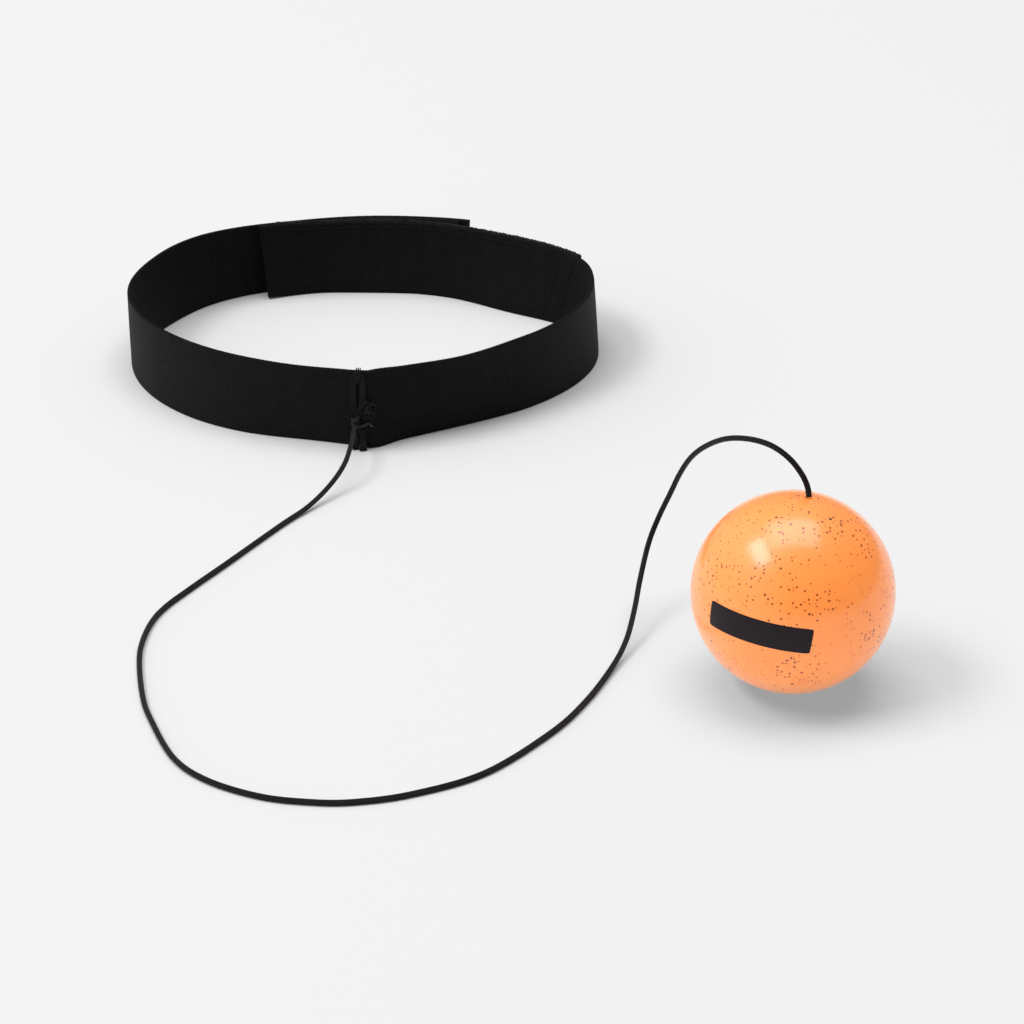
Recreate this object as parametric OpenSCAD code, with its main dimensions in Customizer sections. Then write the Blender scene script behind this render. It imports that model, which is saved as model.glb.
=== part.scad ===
// Reflex ball headband: a woven elastic headband that closes at the back with
// hook and loop tape, an elastic cord tied to its front, and a light hollow
// ball on the cord's far end. Millimetres, +Z up, standing on the plane z = 0.
// +X is to the right and +Y to the back of the head; the wearer faces -Y.

/* [Headband] */
// Mean radius of the loop's outer face, as it stands
loop_r = 84.4; // [76:0.1:96]
// How much the loop is wider than deep, from its mean radius
loop_oval = 7.2; // [0:0.1:10]
// Small three-sided unevenness of the standing loop
loop_wave = 2.1; // [0:0.1:3]
// How far the crease at the front stands out
crease_out = 8.6; // [0:0.1:10]
// Width of the woven elastic
band_w = 30; // [20:1:40]
// Thickness of the woven elastic
band_t = 1.4; // [1:0.1:2]

/* [Closure] */
// Width of the hook tape and of the loop tape
tape_w = 29; // [18:1:38]
// Thickness of the hook tape
hook_t = 1; // [0.8:0.1:1.5]
// Thickness of the loop tape
loop_t = 1.6; // [1.2:0.1:2.2]
// Free gap between the hooks and the loops
tape_gap = 0.3; // [0.2:0.05:0.6]
// How far the outer end springs away at its tip
outer_spring = 1.2; // [0:0.1:2]
// How far the inner end springs inwards at its tip
inner_spring = 2; // [0:0.1:3]
// Diameter of the sewing thread
thread_d = 0.4; // [0.3:0.05:0.5]
// Distance of the stitch rows from the elastic's edges
row_edge = 2.2; // [1.5:0.1:3.5]

/* [Front anchor] */
// Width of the narrow anchor tape
anchor_w = 2.4; // [1.8:0.1:3]
// Thickness of the anchor tape
anchor_t = 1.1; // [0.8:0.1:1.6]
// Clear slot between the anchor tape's two legs
anchor_slot = 1; // [0.8:0.1:1.6]
// How far the cut ends stand in front of the band
tail_out = 2.6; // [1.5:0.1:4]
// Height of the cord's knot on the band
knot_z = 10.5; // [8:0.5:18]

/* [Cord] */
// Diameter of the elastic cord
cord_d = 1.8; // [1.4:0.1:2.4]
// Clearance between the cord and the holes that it turns in, on the radius
cord_clear = 0.25; // [0.2:0.05:0.5]

/* [Ball] */
// Diameter of the ball
ball_d = 63; // [50:1:76]
// Thickness of the ball's wall
ball_wall = 4; // [3:0.1:6]
// Distance from the loop's centre to the ball's centre, to the right
ball_right = 146; // [120:1:180]
// Distance from the loop's centre to the ball's centre, to the front
ball_front = 262; // [220:1:300]
// Tilt of the cord hole's axis from the vertical
hole_tilt = 8; // [0:1:20]
// Direction in which the hole's axis leans, from +X
hole_lean_dir = 31; // [0:1:360]
// Depth of the chamfer at the hole's mouth
mouth_chamfer = 0.4; // [0.2:0.1:1]
// Length of the printed bar, round the ball
bar_l = 34.6; // [20:0.1:50]
// Height of the printed bar
bar_h = 8.3; // [5:0.1:12]
// Thickness of the print
print_t = 0.12; // [0.1:0.01:0.2]
// Diameter of the stopper washer
washer_d = 9; // [6:0.5:12]
// Thickness of the stopper washer
washer_t = 1.2; // [1:0.1:2]

/* [Hidden] */
step = 3;              // degrees between the points of a strip; the tapes start and end on one
eps = 0.01;

// Angles along the strip, counter-clockwise from +X. It starts at the outer
// end's tip, goes once round and runs on inside itself to the inner end's tip.
tab_tip = 59;
peel_at = 128;
hook_from = 62;
hook_to = 104;
turn = 360;
loop_from = turn + 20;
loop_to = turn + 119;
flap_tip = turn + 124;
crease_at = 275;
anchor_dir = 272.3;
oval_dir = 4.9;
wave_dir = 19.6;
crease_spread = 12;
deg_per_mm = 180 / PI / loop_r;
stitch_deg = thread_d * deg_per_mm;
peel_gap = 0.3;        // along the strip, between the band and the outer end
sewn_gap = 0.06;       // under the stitches, and beside the thread over the top edge
lap = band_t + hook_t + tape_gap + loop_t;   // from the outer face to the flap's outer face

function smooth(x) = let (c = min(max(x, 0), 1)) c * c * (3 - 2 * c);
function off_crease(a) = let (d = (a - crease_at + 540) % 360 - 180) sqrt(d * d + 1) - 1;
function rim(a) = loop_r + loop_oval * cos(2 * (a - oval_dir)) + loop_wave * cos(3 * (a - wave_dir))
    + crease_out * exp(-off_crease(a) / crease_spread);
function rim_pt(a) = rim(a) * [cos(a), sin(a)];
function unit(v) = v / norm(v);
// Outward normal of the loop at angle a
function rim_nrm(a) = let (t = rim_pt(a + 0.5) - rim_pt(a - 0.5)) unit([t[1], -t[0]]);
// Point at angle a, a distance inside the loop's outer face
function strip_pt(a, inside) = rim_pt(a) - inside * rim_nrm(a);
// How far inside the outline each stretch of the strip has its outer face
function tab_in(a) = -outer_spring * smooth((90 - a) / (90 - tab_tip));
function band_in(a) = lap * smooth((a - turn - 5) / 55)
    + inner_spring * smooth((a - turn - 80) / (flap_tip - turn - 80));
// The angles of a stretch's points: its two ends, and every whole step from the tab's tip
function span(a, b) = concat([a], [for (q = [tab_tip : step : flap_tip]) if (q > a && q < b) q], [b]);

// The frame's origin is under the middle of the box round the band and the ball
outer_pts = [for (a = span(peel_at, turn + peel_at)) strip_pt(a, 0)];
tab_pts = [for (a = span(tab_tip, peel_at)) strip_pt(a, tab_in(a) - thread_d)];
box_left = min([for (p = outer_pts) p[0]]);
box_back = max([for (p = concat(outer_pts, tab_pts)) p[1]]);
ball_r = ball_d / 2;
loop_at = [-(box_left + ball_right + ball_r) / 2, -(box_back - ball_front - ball_r) / 2, 0];
ball_at = loop_at + [ball_right, -ball_front, ball_r];

// Front anchor, placed beside the crease and level with the band's foremost point
front_at = loop_at + [strip_pt(anchor_dir, 0)[0], min([for (p = outer_pts) p[1]]), 0];
leg_x = (anchor_slot + anchor_w) / 2;
tail_x = leg_x - 0.3;
anchor_top = band_w - 0.4;
arch_r = leg_x + anchor_w / 2;
cross_z = 14;          // where the two legs come together
knot_r = 1.5;          // of the turns that make up the cord's knot
knot_at = [-1.1, -anchor_t - tail_out / 3 - knot_r - cord_d / 2, knot_z];

// Cord: the points that its middle runs through, from the knot on the band,
// down to the ground, round the loose loop and up over an arch into the ball
cord_r = cord_d / 2;
hole_r = cord_r + cord_clear;
hole_axis = [sin(hole_tilt) * cos(hole_lean_dir), sin(hole_tilt) * sin(hole_lean_dir), cos(hole_tilt)];
mouth_at = ball_at + ball_r * hole_axis;
route = [[-41.4, 15.8, 10.6], [-41.5, 9, 11.6], [-41.8, 0, 11.6], [-43.9, -11.1, 8.4],
    [-48.8, -20.7, 4.4], [-55.8, -31.9, 1.6], [-64.2, -44.8, 0.95], [-80.3, -73.8, 0.95],
    [-90.6, -92, 0.95], [-97.9, -105.9, 0.95], [-101.3, -117.3, 0.95], [-102.6, -131.4, 0.95],
    [-101.7, -144.6, 0.95], [-98.5, -163.7, 0.95], [-94.6, -177.6, 0.95], [-85.1, -201, 0.95],
    [-73.9, -214, 0.95], [-57.8, -223, 0.95], [-42.8, -226.2, 0.95], [-29.8, -226.2, 0.95],
    [-12.8, -221.7, 0.95], [8, -210, 0.95], [27.5, -187, 0.95], [38.5, -168, 0.95],
    [47.4, -147.1, 1.5], [52.3, -133.6, 3.8], [55.3, -120.8, 7.8], [57.5, -109.5, 13],
    [60.5, -99.5, 21], [63.6, -97, 29], [67.1, -101, 40], [69.9, -108, 51], [72.9, -116.3, 60.5],
    [77, -125.5, 68.5], [82.2, -135, 75], [88.6, -142.5, 78.2], [94.8, -146.8, 77.9],
    [100.2, -148.7, 74.4], [104, -149.4, 69.5], [105.8, -149.8, 65.5], mouth_at];
cord_sides = 8;
knot_tail_l = 6;       // cut ends left beyond the two knots
stop_tail_l = 8;

// Through four route points, the point a fraction f of the way from b to c
function curve_pt(a, b, c, d, f) = 0.5 * (2 * b + (c - a) * f + (2 * a - 5 * b + 4 * c - d) * f * f
    + (3 * b - a - 3 * c + d) * f * f * f);
function smooth_route(p) = let (n = len(p) - 1) concat(
    [for (i = [0 : n - 1], f = [0, 0.5])
        curve_pt(p[max(i - 1, 0)], p[i], p[i + 1], p[min(i + 2, n)], f)], [p[n]]);
function tangents(p) = let (n = len(p) - 1) [for (i = [0 : n]) unit(p[min(i + 1, n)] - p[max(i - 1, 0)])];
function across(v, t) = unit(v - (v * t) * t);
// Side directions carried along the path without twist
function carried(t) = [for (i = 0, s = across([0, 0, 1], t[0]); i < len(t);
    i = i + 1, s = i < len(t) ? across(s, t[i]) : s) s];
function ring_pt(p, t, s, r, q) = p + r * (cos(q) * s + sin(q) * cross(t, s));

module place_band() {
    translate(loop_at) children();
}

// A stretch of strip from angle a to angle b, of thickness t, standing from z0 to z1.
// in(x) is the depth of its outer face inside the loop's outline.
module strip_of(inside, a, b, t, z0, z1) {
    angles = span(a, b);
    n = len(angles) - 1;
    outer = [for (i = [0 : n]) strip_pt(angles[i], inside[i])];
    inner = [for (i = [n : -1 : 0]) strip_pt(angles[i], inside[i] + t)];
    translate([0, 0, z0]) linear_extrude(height = z1 - z0) polygon(concat(outer, inner));
}

// The same on the outer end, and on the band with its inner flap: depth is
// counted from that stretch's own outer face
module on_tab(a, b, depth, t, z0, z1) {
    strip_of([for (x = span(a, b)) tab_in(x) + depth], a, b, t, z0, z1);
}

module on_band(a, b, depth, t, z0, z1) {
    strip_of([for (x = span(a, b)) band_in(x) + depth], a, b, t, z0, z1);
}

// A pipe of radius r along a path, as one closed polyhedron
module pipe(p, r, sides) {
    t = tangents(p);
    s = carried(t);
    n = len(p);
    pts = [for (i = [0 : n - 1], k = [0 : sides - 1]) ring_pt(p[i], t[i], s[i], r, 360 * k / sides)];
    wall = [for (i = [0 : n - 2], k = [0 : sides - 1]) let (m = (k + 1) % sides)
        [i * sides + k, (i + 1) * sides + k, (i + 1) * sides + m, i * sides + m]];
    start_cap = [[for (k = [0 : sides - 1]) k]];
    end_cap = [[for (k = [sides - 1 : -1 : 0]) (n - 1) * sides + k]];
    polyhedron(points = pts, faces = concat(start_cap, wall, end_cap), convexity = 10);
}

module ring(major, minor) {
    rotate_extrude($fn = 32) translate([major, 0]) circle(r = minor, $fn = 16);
}

module along_hole() {
    translate(ball_at) rotate([0, 0, hole_lean_dir]) rotate([0, hole_tilt, 0]) children();
}

module elastic_band() {
    color("#1c1a1c") place_band() on_band(peel_at, flap_tip, 0, band_t, 0, band_w);
}

module closure_tab() {
    peel_step = peel_gap * deg_per_mm;
    color("#1c1a1c") place_band() on_tab(tab_tip, peel_at - peel_step, 0, band_t, 0, band_w);
}

module hook_tape() {
    edge = (band_w - tape_w) / 2;
    color("#242326") place_band() on_tab(hook_from, hook_to, band_t, hook_t, edge, edge + tape_w);
}

module loop_tape() {
    edge = (band_w - tape_w) / 2;
    color("#151416") place_band() on_band(loop_from, loop_to, -loop_t, loop_t, edge, edge + tape_w);
}

// Two stitch rows, one near each edge, and one across near each end of the tape
module hook_stitching() {
    depth = -thread_d - sewn_gap;
    color("#0e0d0f") place_band() {
        for (z = [row_edge, band_w - row_edge])
            on_tab(hook_from + 1, hook_to - 1, depth, thread_d, z - thread_d / 2, z + thread_d / 2);
        for (a = [hook_from + 1, hook_to - 1 - stitch_deg])
            on_tab(a, a + stitch_deg, depth, thread_d, row_edge, band_w - row_edge);
    }
}

module loop_stitching() {
    color("#0e0d0f") place_band() for (z = [row_edge, band_w - row_edge])
        on_band(loop_from + 7, loop_to - 3, band_t + sewn_gap, thread_d,
            z - thread_d / 2, z + thread_d / 2);
}

// A stitch row across the strip's inner face
module row_across(a) {
    on_band(a, a + stitch_deg, band_t + sewn_gap, thread_d, row_edge / 2, band_w - row_edge / 2);
}

module cross_seams() {
    color("#0e0d0f") place_band() for (a = [loop_from + 1.5, loop_from + 6]) row_across(a);
}

module flap_hem_stitching() {
    color("#0e0d0f") place_band() row_across(flap_tip - 1.5);
}

// A narrow tape folded over into an arch: its two legs come together at the
// cord's knot and their cut ends stand on the ground in front of the band
module anchor_tape() {
    straight_z = anchor_top - arch_r;
    color("#201e22") translate(front_at) {
        translate([0, 0, straight_z]) rotate([90, 0, 0]) linear_extrude(height = anchor_t)
            difference() {
                circle(r = arch_r, $fn = 48);
                circle(r = anchor_slot / 2, $fn = 24);
                translate([-2 * arch_r, -4 * arch_r]) square(4 * arch_r);
            }
        for (side = [-1, 1]) {
            path = [[side * leg_x, 0, straight_z], [side * leg_x, 0, cross_z + 3],
                [side * tail_x, 0, cross_z - 2], [side * tail_x, -tail_out, 0]];
            for (i = [0 : 2]) hull() for (p = [path[i], path[i + 1]])
                translate([p[0] - anchor_w / 2, p[1] - anchor_t, p[2]]) cube([anchor_w, anchor_t, eps]);
        }
    }
}

// Thread that holds the arch to the band and goes over the band's top edge
module anchor_bartack() {
    over = anchor_t + thread_d;
    inner_face = loop_at[1] + strip_pt(anchor_dir - 1, band_t)[1] - front_at[1];
    back = inner_face + sewn_gap + thread_d;
    color("#0e0d0f") translate(front_at) for (x = [-0.5, 0.5])
        translate([x - thread_d / 2, 0, 0]) {
            translate([0, -over, anchor_top - arch_r]) cube([thread_d, thread_d, arch_r + 0.8]);
            translate([0, -over, band_w + eps]) cube([thread_d, over + back, thread_d]);
            translate([0, back - thread_d, band_w - 3]) cube([thread_d, thread_d, 3 + thread_d]);
        }
}

// Wound and knotted thread beside the cord's knot
module binding_thread() {
    coil_r = [2.3, 1.9, 2.1, 1.6];
    color("#232028") translate(front_at) for (i = [0 : 3])
        translate([3.8 + 0.5 * (i % 2), -anchor_t - 1.3, 19 - 2.5 * i])
            rotate([90 - 5 * i, 0, 8 - 5 * i]) ring(coil_r[i], 0.8 * thread_d);
}

module cord_knot() {
    color("#141215") translate(front_at + knot_at) {
        rotate([70, 20, 0]) ring(knot_r, cord_r);
        rotate([20, 60, 0]) ring(knot_r, cord_r);
    }
}

module cord_knot_tail() {
    color("#141215") translate(front_at + knot_at + [knot_r, 0, 0])
        rotate([0, 100, -15]) cylinder(h = knot_tail_l, r = cord_r, $fn = 24);
}

module cord() {
    color("#141215") pipe(smooth_route(route), cord_r, cord_sides);
}

// Hollow ball with one hole for the cord, chamfered at its mouth
module ball() {
    color("#ff8a3d") difference() {
        translate(ball_at) sphere(r = ball_r, $fn = 96);
        translate(ball_at) sphere(r = ball_r - ball_wall, $fn = 96);
        along_hole() translate([0, 0, ball_r - 2 * ball_wall])
            cylinder(h = 3 * ball_wall, r = hole_r, $fn = 32);
        along_hole() translate([0, 0, ball_r - mouth_chamfer])
            cylinder(h = 2 * mouth_chamfer, r1 = hole_r, r2 = hole_r + 2 * mouth_chamfer, $fn = 32);
    }
}

// Printed bar on one latitude of the ball, round the hole's axis
module printed_bar() {
    bar_deg = bar_l / ball_r * 180 / PI;
    half_deg = bar_h / ball_r * 90 / PI;
    middle_dir = -116;
    middle_lat = -5;
    edges = [middle_lat - half_deg, middle_lat + half_deg];
    color("#1a1416") along_hole() rotate([0, 0, middle_dir - hole_lean_dir - bar_deg / 2])
        rotate_extrude(angle = bar_deg, $fn = 120) intersection() {
            difference() {
                circle(r = ball_r + print_t, $fn = 96);
                circle(r = ball_r, $fn = 96);
            }
            polygon(concat([[0, 0]], [for (q = edges) ball_d * [cos(q), sin(q)]]));
        }
}

// Inside the ball the cord ends in a knot that bears on a washer
washer_z = sqrt(pow(ball_r - ball_wall - 0.3, 2) - pow(washer_d / 2, 2));
inner_start = ball_r - 1;
stop_r = 1.7;          // of the turns that make up the stopper knot
stop_z = washer_z - washer_t - stop_r - cord_r;

module inner_cord() {
    color("#141215") along_hole() translate([0, 0, stop_z])
        cylinder(h = inner_start - stop_z, r = cord_r, $fn = 24);
}

module stopper_washer() {
    color("#d8d8d4") along_hole() translate([0, 0, washer_z - washer_t]) difference() {
        cylinder(h = washer_t, r = washer_d / 2, $fn = 48);
        translate([0, 0, -1]) cylinder(h = washer_t + 2, r = cord_r + 0.05, $fn = 24);
    }
}

module stopper_knot() {
    color("#141215") along_hole() translate([0, 0, stop_z]) {
        rotate([60, 0, 0]) ring(stop_r, cord_r);
        rotate([120, 0, 0]) ring(stop_r, cord_r);
    }
}

module stopper_tail() {
    color("#141215") along_hole() translate([0, 0, stop_z - stop_tail_l])
        cylinder(h = stop_tail_l, r = cord_r, $fn = 24);
}

elastic_band();
closure_tab();
hook_tape();
loop_tape();
hook_stitching();
loop_stitching();
cross_seams();
flap_hem_stitching();
anchor_tape();
anchor_bartack();
binding_thread();
cord_knot();
cord_knot_tail();
cord();
ball();
printed_bar();
inner_cord();
stopper_washer();
stopper_knot();
stopper_tail();
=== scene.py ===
import math

import bpy
import numpy as np
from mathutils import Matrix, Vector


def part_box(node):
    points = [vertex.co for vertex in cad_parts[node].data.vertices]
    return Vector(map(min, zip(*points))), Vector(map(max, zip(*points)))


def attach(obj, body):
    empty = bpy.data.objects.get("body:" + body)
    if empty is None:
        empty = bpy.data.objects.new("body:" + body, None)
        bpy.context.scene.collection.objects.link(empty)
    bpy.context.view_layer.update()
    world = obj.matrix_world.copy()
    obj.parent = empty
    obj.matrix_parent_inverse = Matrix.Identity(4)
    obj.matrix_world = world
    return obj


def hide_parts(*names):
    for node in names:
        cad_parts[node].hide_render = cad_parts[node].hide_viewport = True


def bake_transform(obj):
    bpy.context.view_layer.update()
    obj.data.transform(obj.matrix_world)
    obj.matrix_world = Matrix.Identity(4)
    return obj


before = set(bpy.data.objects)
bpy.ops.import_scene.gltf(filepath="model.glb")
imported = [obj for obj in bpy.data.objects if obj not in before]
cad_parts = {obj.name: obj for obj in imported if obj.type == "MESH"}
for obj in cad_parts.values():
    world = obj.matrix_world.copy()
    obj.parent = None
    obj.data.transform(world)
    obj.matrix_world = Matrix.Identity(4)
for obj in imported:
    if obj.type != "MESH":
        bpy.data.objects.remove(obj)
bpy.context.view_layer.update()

# ---- Camera ---------------------------------------------------------------------------------
# It stands in front of the headband and to the right of its middle, and a long lens looks
# 26 degrees down at the whole set.
lens = bpy.data.cameras.new("camera")
lens.lens = 100
lens.sensor_width = 36
camera = bpy.data.objects.new("camera", lens)
camera.location = (0.01594, -0.93022, 0.43778)
camera.rotation_euler = (math.radians(90 - 26), 0, 0)
bpy.context.scene.collection.objects.link(camera)
bpy.context.scene.camera = camera

# ---- Elastic cord ---------------------------------------------------------------------------
# A round elastic cord: a rubber core inside twelve black yarns that are laid round it. It is
# tied to the band's front, lies in one wide loop and rises over an arch into the ball.
cord_radius = 0.0009
cord_yarns = 12
cord_lay = 0.0106
cord_girth = 2 * math.pi * cord_radius
route = [
    (-0.0414, 0.0158, 0.0106), (-0.0415, 0.009, 0.0116), (-0.0418, 0, 0.0116), (-0.0439, -0.0111, 0.0084),
    (-0.0488, -0.0207, 0.0044), (-0.0558, -0.0319, 0.0016), (-0.0642, -0.0448, 0.00095),
    (-0.0803, -0.0738, 0.00095), (-0.0906, -0.092, 0.00095), (-0.0979, -0.1059, 0.00095),
    (-0.1013, -0.1173, 0.00095), (-0.1026, -0.1314, 0.00095), (-0.1017, -0.1446, 0.00095),
    (-0.0985, -0.1637, 0.00095), (-0.0946, -0.1776, 0.00095), (-0.0851, -0.201, 0.00095),
    (-0.0739, -0.214, 0.00095), (-0.0578, -0.223, 0.00095), (-0.0428, -0.2262, 0.00095),
    (-0.0298, -0.2262, 0.00095), (-0.0128, -0.2217, 0.00095), (0.008, -0.21, 0.00095),
    (0.0275, -0.187, 0.00095), (0.0385, -0.168, 0.00095), (0.0474, -0.1471, 0.0015),
    (0.0523, -0.1336, 0.0038), (0.0553, -0.1208, 0.0078), (0.0575, -0.1095, 0.013),
    (0.0605, -0.0995, 0.021), (0.0636, -0.097, 0.029), (0.0671, -0.101, 0.04),
    (0.0699, -0.108, 0.051), (0.0729, -0.1163, 0.0605), (0.077, -0.1255, 0.0685),
    (0.0822, -0.135, 0.075), (0.0886, -0.1425, 0.0782), (0.0948, -0.1468, 0.0779),
    (0.1002, -0.1487, 0.0744), (0.104, -0.1494, 0.0695), (0.1058, -0.1498, 0.0655),
    (0.10623, -0.150951, 0.0626934),
]


def curve_through(points, spacing=0.0005, count=None):
    """Catmull-Rom curve through the points, with its own points the given distance apart, or so many.
    Between b and c it is half of 2b + (c - a)f + (2a - 5b + 4c - d)f^2 + (3b - a - 3c + d)f^3."""
    p = np.asarray(points, float)
    p = np.vstack([p[:1], p, p[-1:]])
    f = np.linspace(0, 1, 24, endpoint=False)[None, :, None]
    a, b, c, d = (p[i:len(p) - 3 + i, None] for i in range(4))
    fine = b + ((c - a) * f + (2 * a - 5 * b + 4 * c - d) * f ** 2 + (3 * b - a - 3 * c + d) * f ** 3) / 2
    fine = np.vstack([fine.reshape(-1, 3), p[-1:]])
    run = np.append(0, np.cumsum(np.linalg.norm(np.diff(fine, axis=0), axis=1)))
    at = np.linspace(0, run[-1], count or max(2, round(run[-1] / spacing) + 1))
    return np.stack([np.interp(at, run, fine[:, i]) for i in range(3)], axis=1)


def run_of(path):
    """Distance along a path at each of its points, or along each of many paths."""
    step = np.linalg.norm(np.diff(path, axis=-2), axis=-1)
    return np.concatenate([np.zeros(step.shape[:-1] + (1,)), np.cumsum(step, axis=-1)], axis=-1)


def unit(vectors):
    """The vectors at length one."""
    return vectors / np.linalg.norm(vectors, axis=-1, keepdims=True)


def tube(path, radius, sides, twist=0.0, flat=1.0, across=(0, 0, 1), yarns=0, groove=0.0, ridge=0.0):
    """A round or oval outline carried along a path, or along each of many paths with as many points:
    point = path + r (cos q * side + flat (1 + ridge cos 2q) sin q * lift). The side is square to the path
    and to the direction across. The angle q gains twist radians a metre, and r dips by the share groove
    between the yarns, which follow the twist."""
    path = np.asarray(path, float)
    forward = unit(np.gradient(path, axis=-2))
    side = unit(np.cross(forward, np.asarray(across, float)))
    lift = np.cross(side, forward)
    q = 2 * np.pi * np.arange(sides) / sides
    dip = groove * (1 - np.abs(np.cos(q * yarns / 2)))
    r = np.broadcast_to(radius, path.shape[:-1])[..., None] * (1 - dip)
    turn = q + twist * run_of(path)[..., None]
    return path[..., None, :] + (r * np.cos(turn))[..., None] * side[..., None, :] \
        + (flat * r * np.sin(turn) * (1 + ridge * np.cos(2 * turn)))[..., None] * lift[..., None, :]


def piece(name, points, run=None, round_size=None, ends="fan", crease=50):
    """A mesh from a grid of points, rows along and columns round, or from many such grids at once.
    Neighbours four by four make the faces, and the last column joins the first. A fan to its middle
    closes each end, or the last row joins the first. Faces turn outwards by the sign of the volume.
    The map "lay" holds the distance along the rows and round the columns, in metres."""
    grids = np.asarray(points, float)
    grids = grids if grids.ndim == 4 else grids[None]
    count, rows, cols, _ = grids.shape
    run = np.linspace(0, 1, rows) if run is None else np.asarray(run, float)
    way = round_size
    if np.ndim(round_size) == 0:
        way = np.linspace(0, 1 if round_size is None else round_size, cols + 1)
    index = np.arange(rows * cols).reshape(rows, cols)
    index = np.hstack([index, index[:, :1]])
    if ends == "ring":
        index = np.vstack([index, index[:1]])
        run = np.append(run, 2 * run[-1] - run[-2])
    wide = cols + 1
    u, v = np.meshgrid(run, way[:wide], indexing="ij")
    lay = np.stack([u, v], axis=-1)
    corners = [(slice(0, -1), slice(0, -1)), (slice(0, -1), slice(1, None)),
               (slice(1, None), slice(1, None)), (slice(1, None), slice(0, -1))]
    quads = np.stack([index[c] for c in corners], axis=-1).reshape(-1, 4)
    quad_lay = np.stack([lay[c] for c in corners], axis=-2).reshape(-1, 4, 2)
    flat = grids.reshape(count, rows * cols, 3)
    fans, fan_lay = np.zeros((0, 3), int), np.zeros((0, 3, 2))
    if ends == "fan":
        flat = np.concatenate([flat, grids[:, [0, -1]].mean(axis=2)], axis=1)
        hub = np.full(wide - 1, rows * cols)
        fans = np.vstack([np.stack([index[0, 1:], index[0, :-1], hub], axis=1),
                          np.stack([index[-1, :-1], index[-1, 1:], hub + 1], axis=1)])
        hub_lay = np.stack([lay[[0, -1]].mean(axis=1)] * (wide - 1), axis=1)
        fan_lay = np.vstack([np.stack([lay[0, 1:], lay[0, :-1], hub_lay[0]], axis=1),
                             np.stack([lay[-1, :-1], lay[-1, 1:], hub_lay[1]], axis=1)])
    triangles = np.vstack([quads[:, [0, 1, 2]], quads[:, [0, 2, 3]], fans])
    a, b, c = (flat[0][triangles[:, i]] - flat[0].mean(axis=0) for i in range(3))
    if np.einsum("ij,ij->", a, np.cross(b, c)) < 0:
        quads, fans = quads[:, ::-1], fans[:, ::-1]
        quad_lay, fan_lay = quad_lay[:, ::-1], fan_lay[:, ::-1]
    shift = np.arange(count)[:, None, None] * flat.shape[1]
    faces = (quads[None] + shift).reshape(-1, 4).tolist() + (fans[None] + shift).reshape(-1, 3).tolist()
    mesh = bpy.data.meshes.new(name)
    mesh.from_pydata(flat.reshape(-1, 3), [], faces)
    uv = [np.tile(quad_lay.reshape(-1, 2), (count, 1)), np.tile(fan_lay.reshape(-1, 2), (count, 1))]
    mesh.uv_layers.new(name="lay").data.foreach_set("uv", np.vstack(uv).ravel())
    mesh.shade_smooth()
    mesh.set_sharp_from_angle(angle=math.radians(crease))
    made = bpy.data.objects.new(name, mesh)
    bpy.context.scene.collection.objects.link(made)
    return made


def finish_of(name, colour, roughness, **sockets):
    """A new material: its node tree, and its shader with the constants set on the shader's own sockets."""
    made = bpy.data.materials.new(name)
    made.use_nodes = True
    shader = made.node_tree.nodes["Principled BSDF"]
    shader.inputs["Base Color"].default_value = (*colour, 1)
    shader.inputs["Roughness"].default_value = roughness
    for socket, value in sockets.items():
        shader.inputs[socket.replace("_", " ")].default_value = value
    return made, made.node_tree, shader


def add(tree, kind, inputs=(), out=0, **settings):
    """Adds a node with these properties, fills its sockets in order with links or values, and gives one
    of its outputs. Inputs may also be a dictionary of socket names."""
    node = tree.nodes.new("ShaderNode" + kind)
    for key, value in settings.items():
        setattr(node, key, value)
    for key, value in (inputs.items() if isinstance(inputs, dict) else enumerate(inputs)):
        if isinstance(value, bpy.types.NodeSocket):
            tree.links.new(value, node.inputs[key])
        else:
            node.inputs[key].default_value = value
    return node.outputs[out]


def sums(tree, operation, a, b=0.0):
    """One step of arithmetic on a and b."""
    return add(tree, "Math", (a, b), operation=operation)


def waves(tree, value, length, phase=0.0):
    """cos(2 pi value / length + phase)"""
    return sums(tree, "COSINE", sums(tree, "ADD", sums(tree, "MULTIPLY", value, 2 * math.pi / length), phase))


def blend_of(tree, share, low, high):
    """From the colour low to the colour high as the share goes from 0 to 1."""
    return add(tree, "Mix", {0: share, 6: (*low, 1), 7: (*high, 1)}, out=2, data_type="RGBA")


def shade_by(tree, shader, share, low, high):
    """The shader's base colour goes from low to high with the share."""
    tree.links.new(blend_of(tree, share, low, high), shader.inputs["Base Color"])


def lay_of(tree):
    """The two numbers of the map "lay": along and across, in metres."""
    place = add(tree, "UVMap", uv_map="lay")
    return add(tree, "SeparateXYZ", [place]), add(tree, "SeparateXYZ", [place], out=1)


def relief(tree, shader, height, depth, strength=1.0):
    """Bump on the shader from a height of 0 to 1, which is that deep in metres."""
    bump = add(tree, "Bump", {"Strength": strength, "Distance": depth, "Height": height})
    tree.links.new(bump, shader.inputs["Normal"])


def noise_of(tree, place, scale, detail):
    """Soft noise of 0 to 1, with that many lumps in a metre."""
    return add(tree, "TexNoise", {"Vector": place, "Scale": scale, "Detail": detail})


def fibres(tree, along, across, per_metre_along, per_metre_across, detail):
    """Noise drawn out into fine fibres along the lay."""
    streak = add(tree, "CombineXYZ", [sums(tree, "MULTIPLY", along, per_metre_along),
                                      sums(tree, "MULTIPLY", across, per_metre_across)])
    return noise_of(tree, streak, 1.0, detail)


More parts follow.
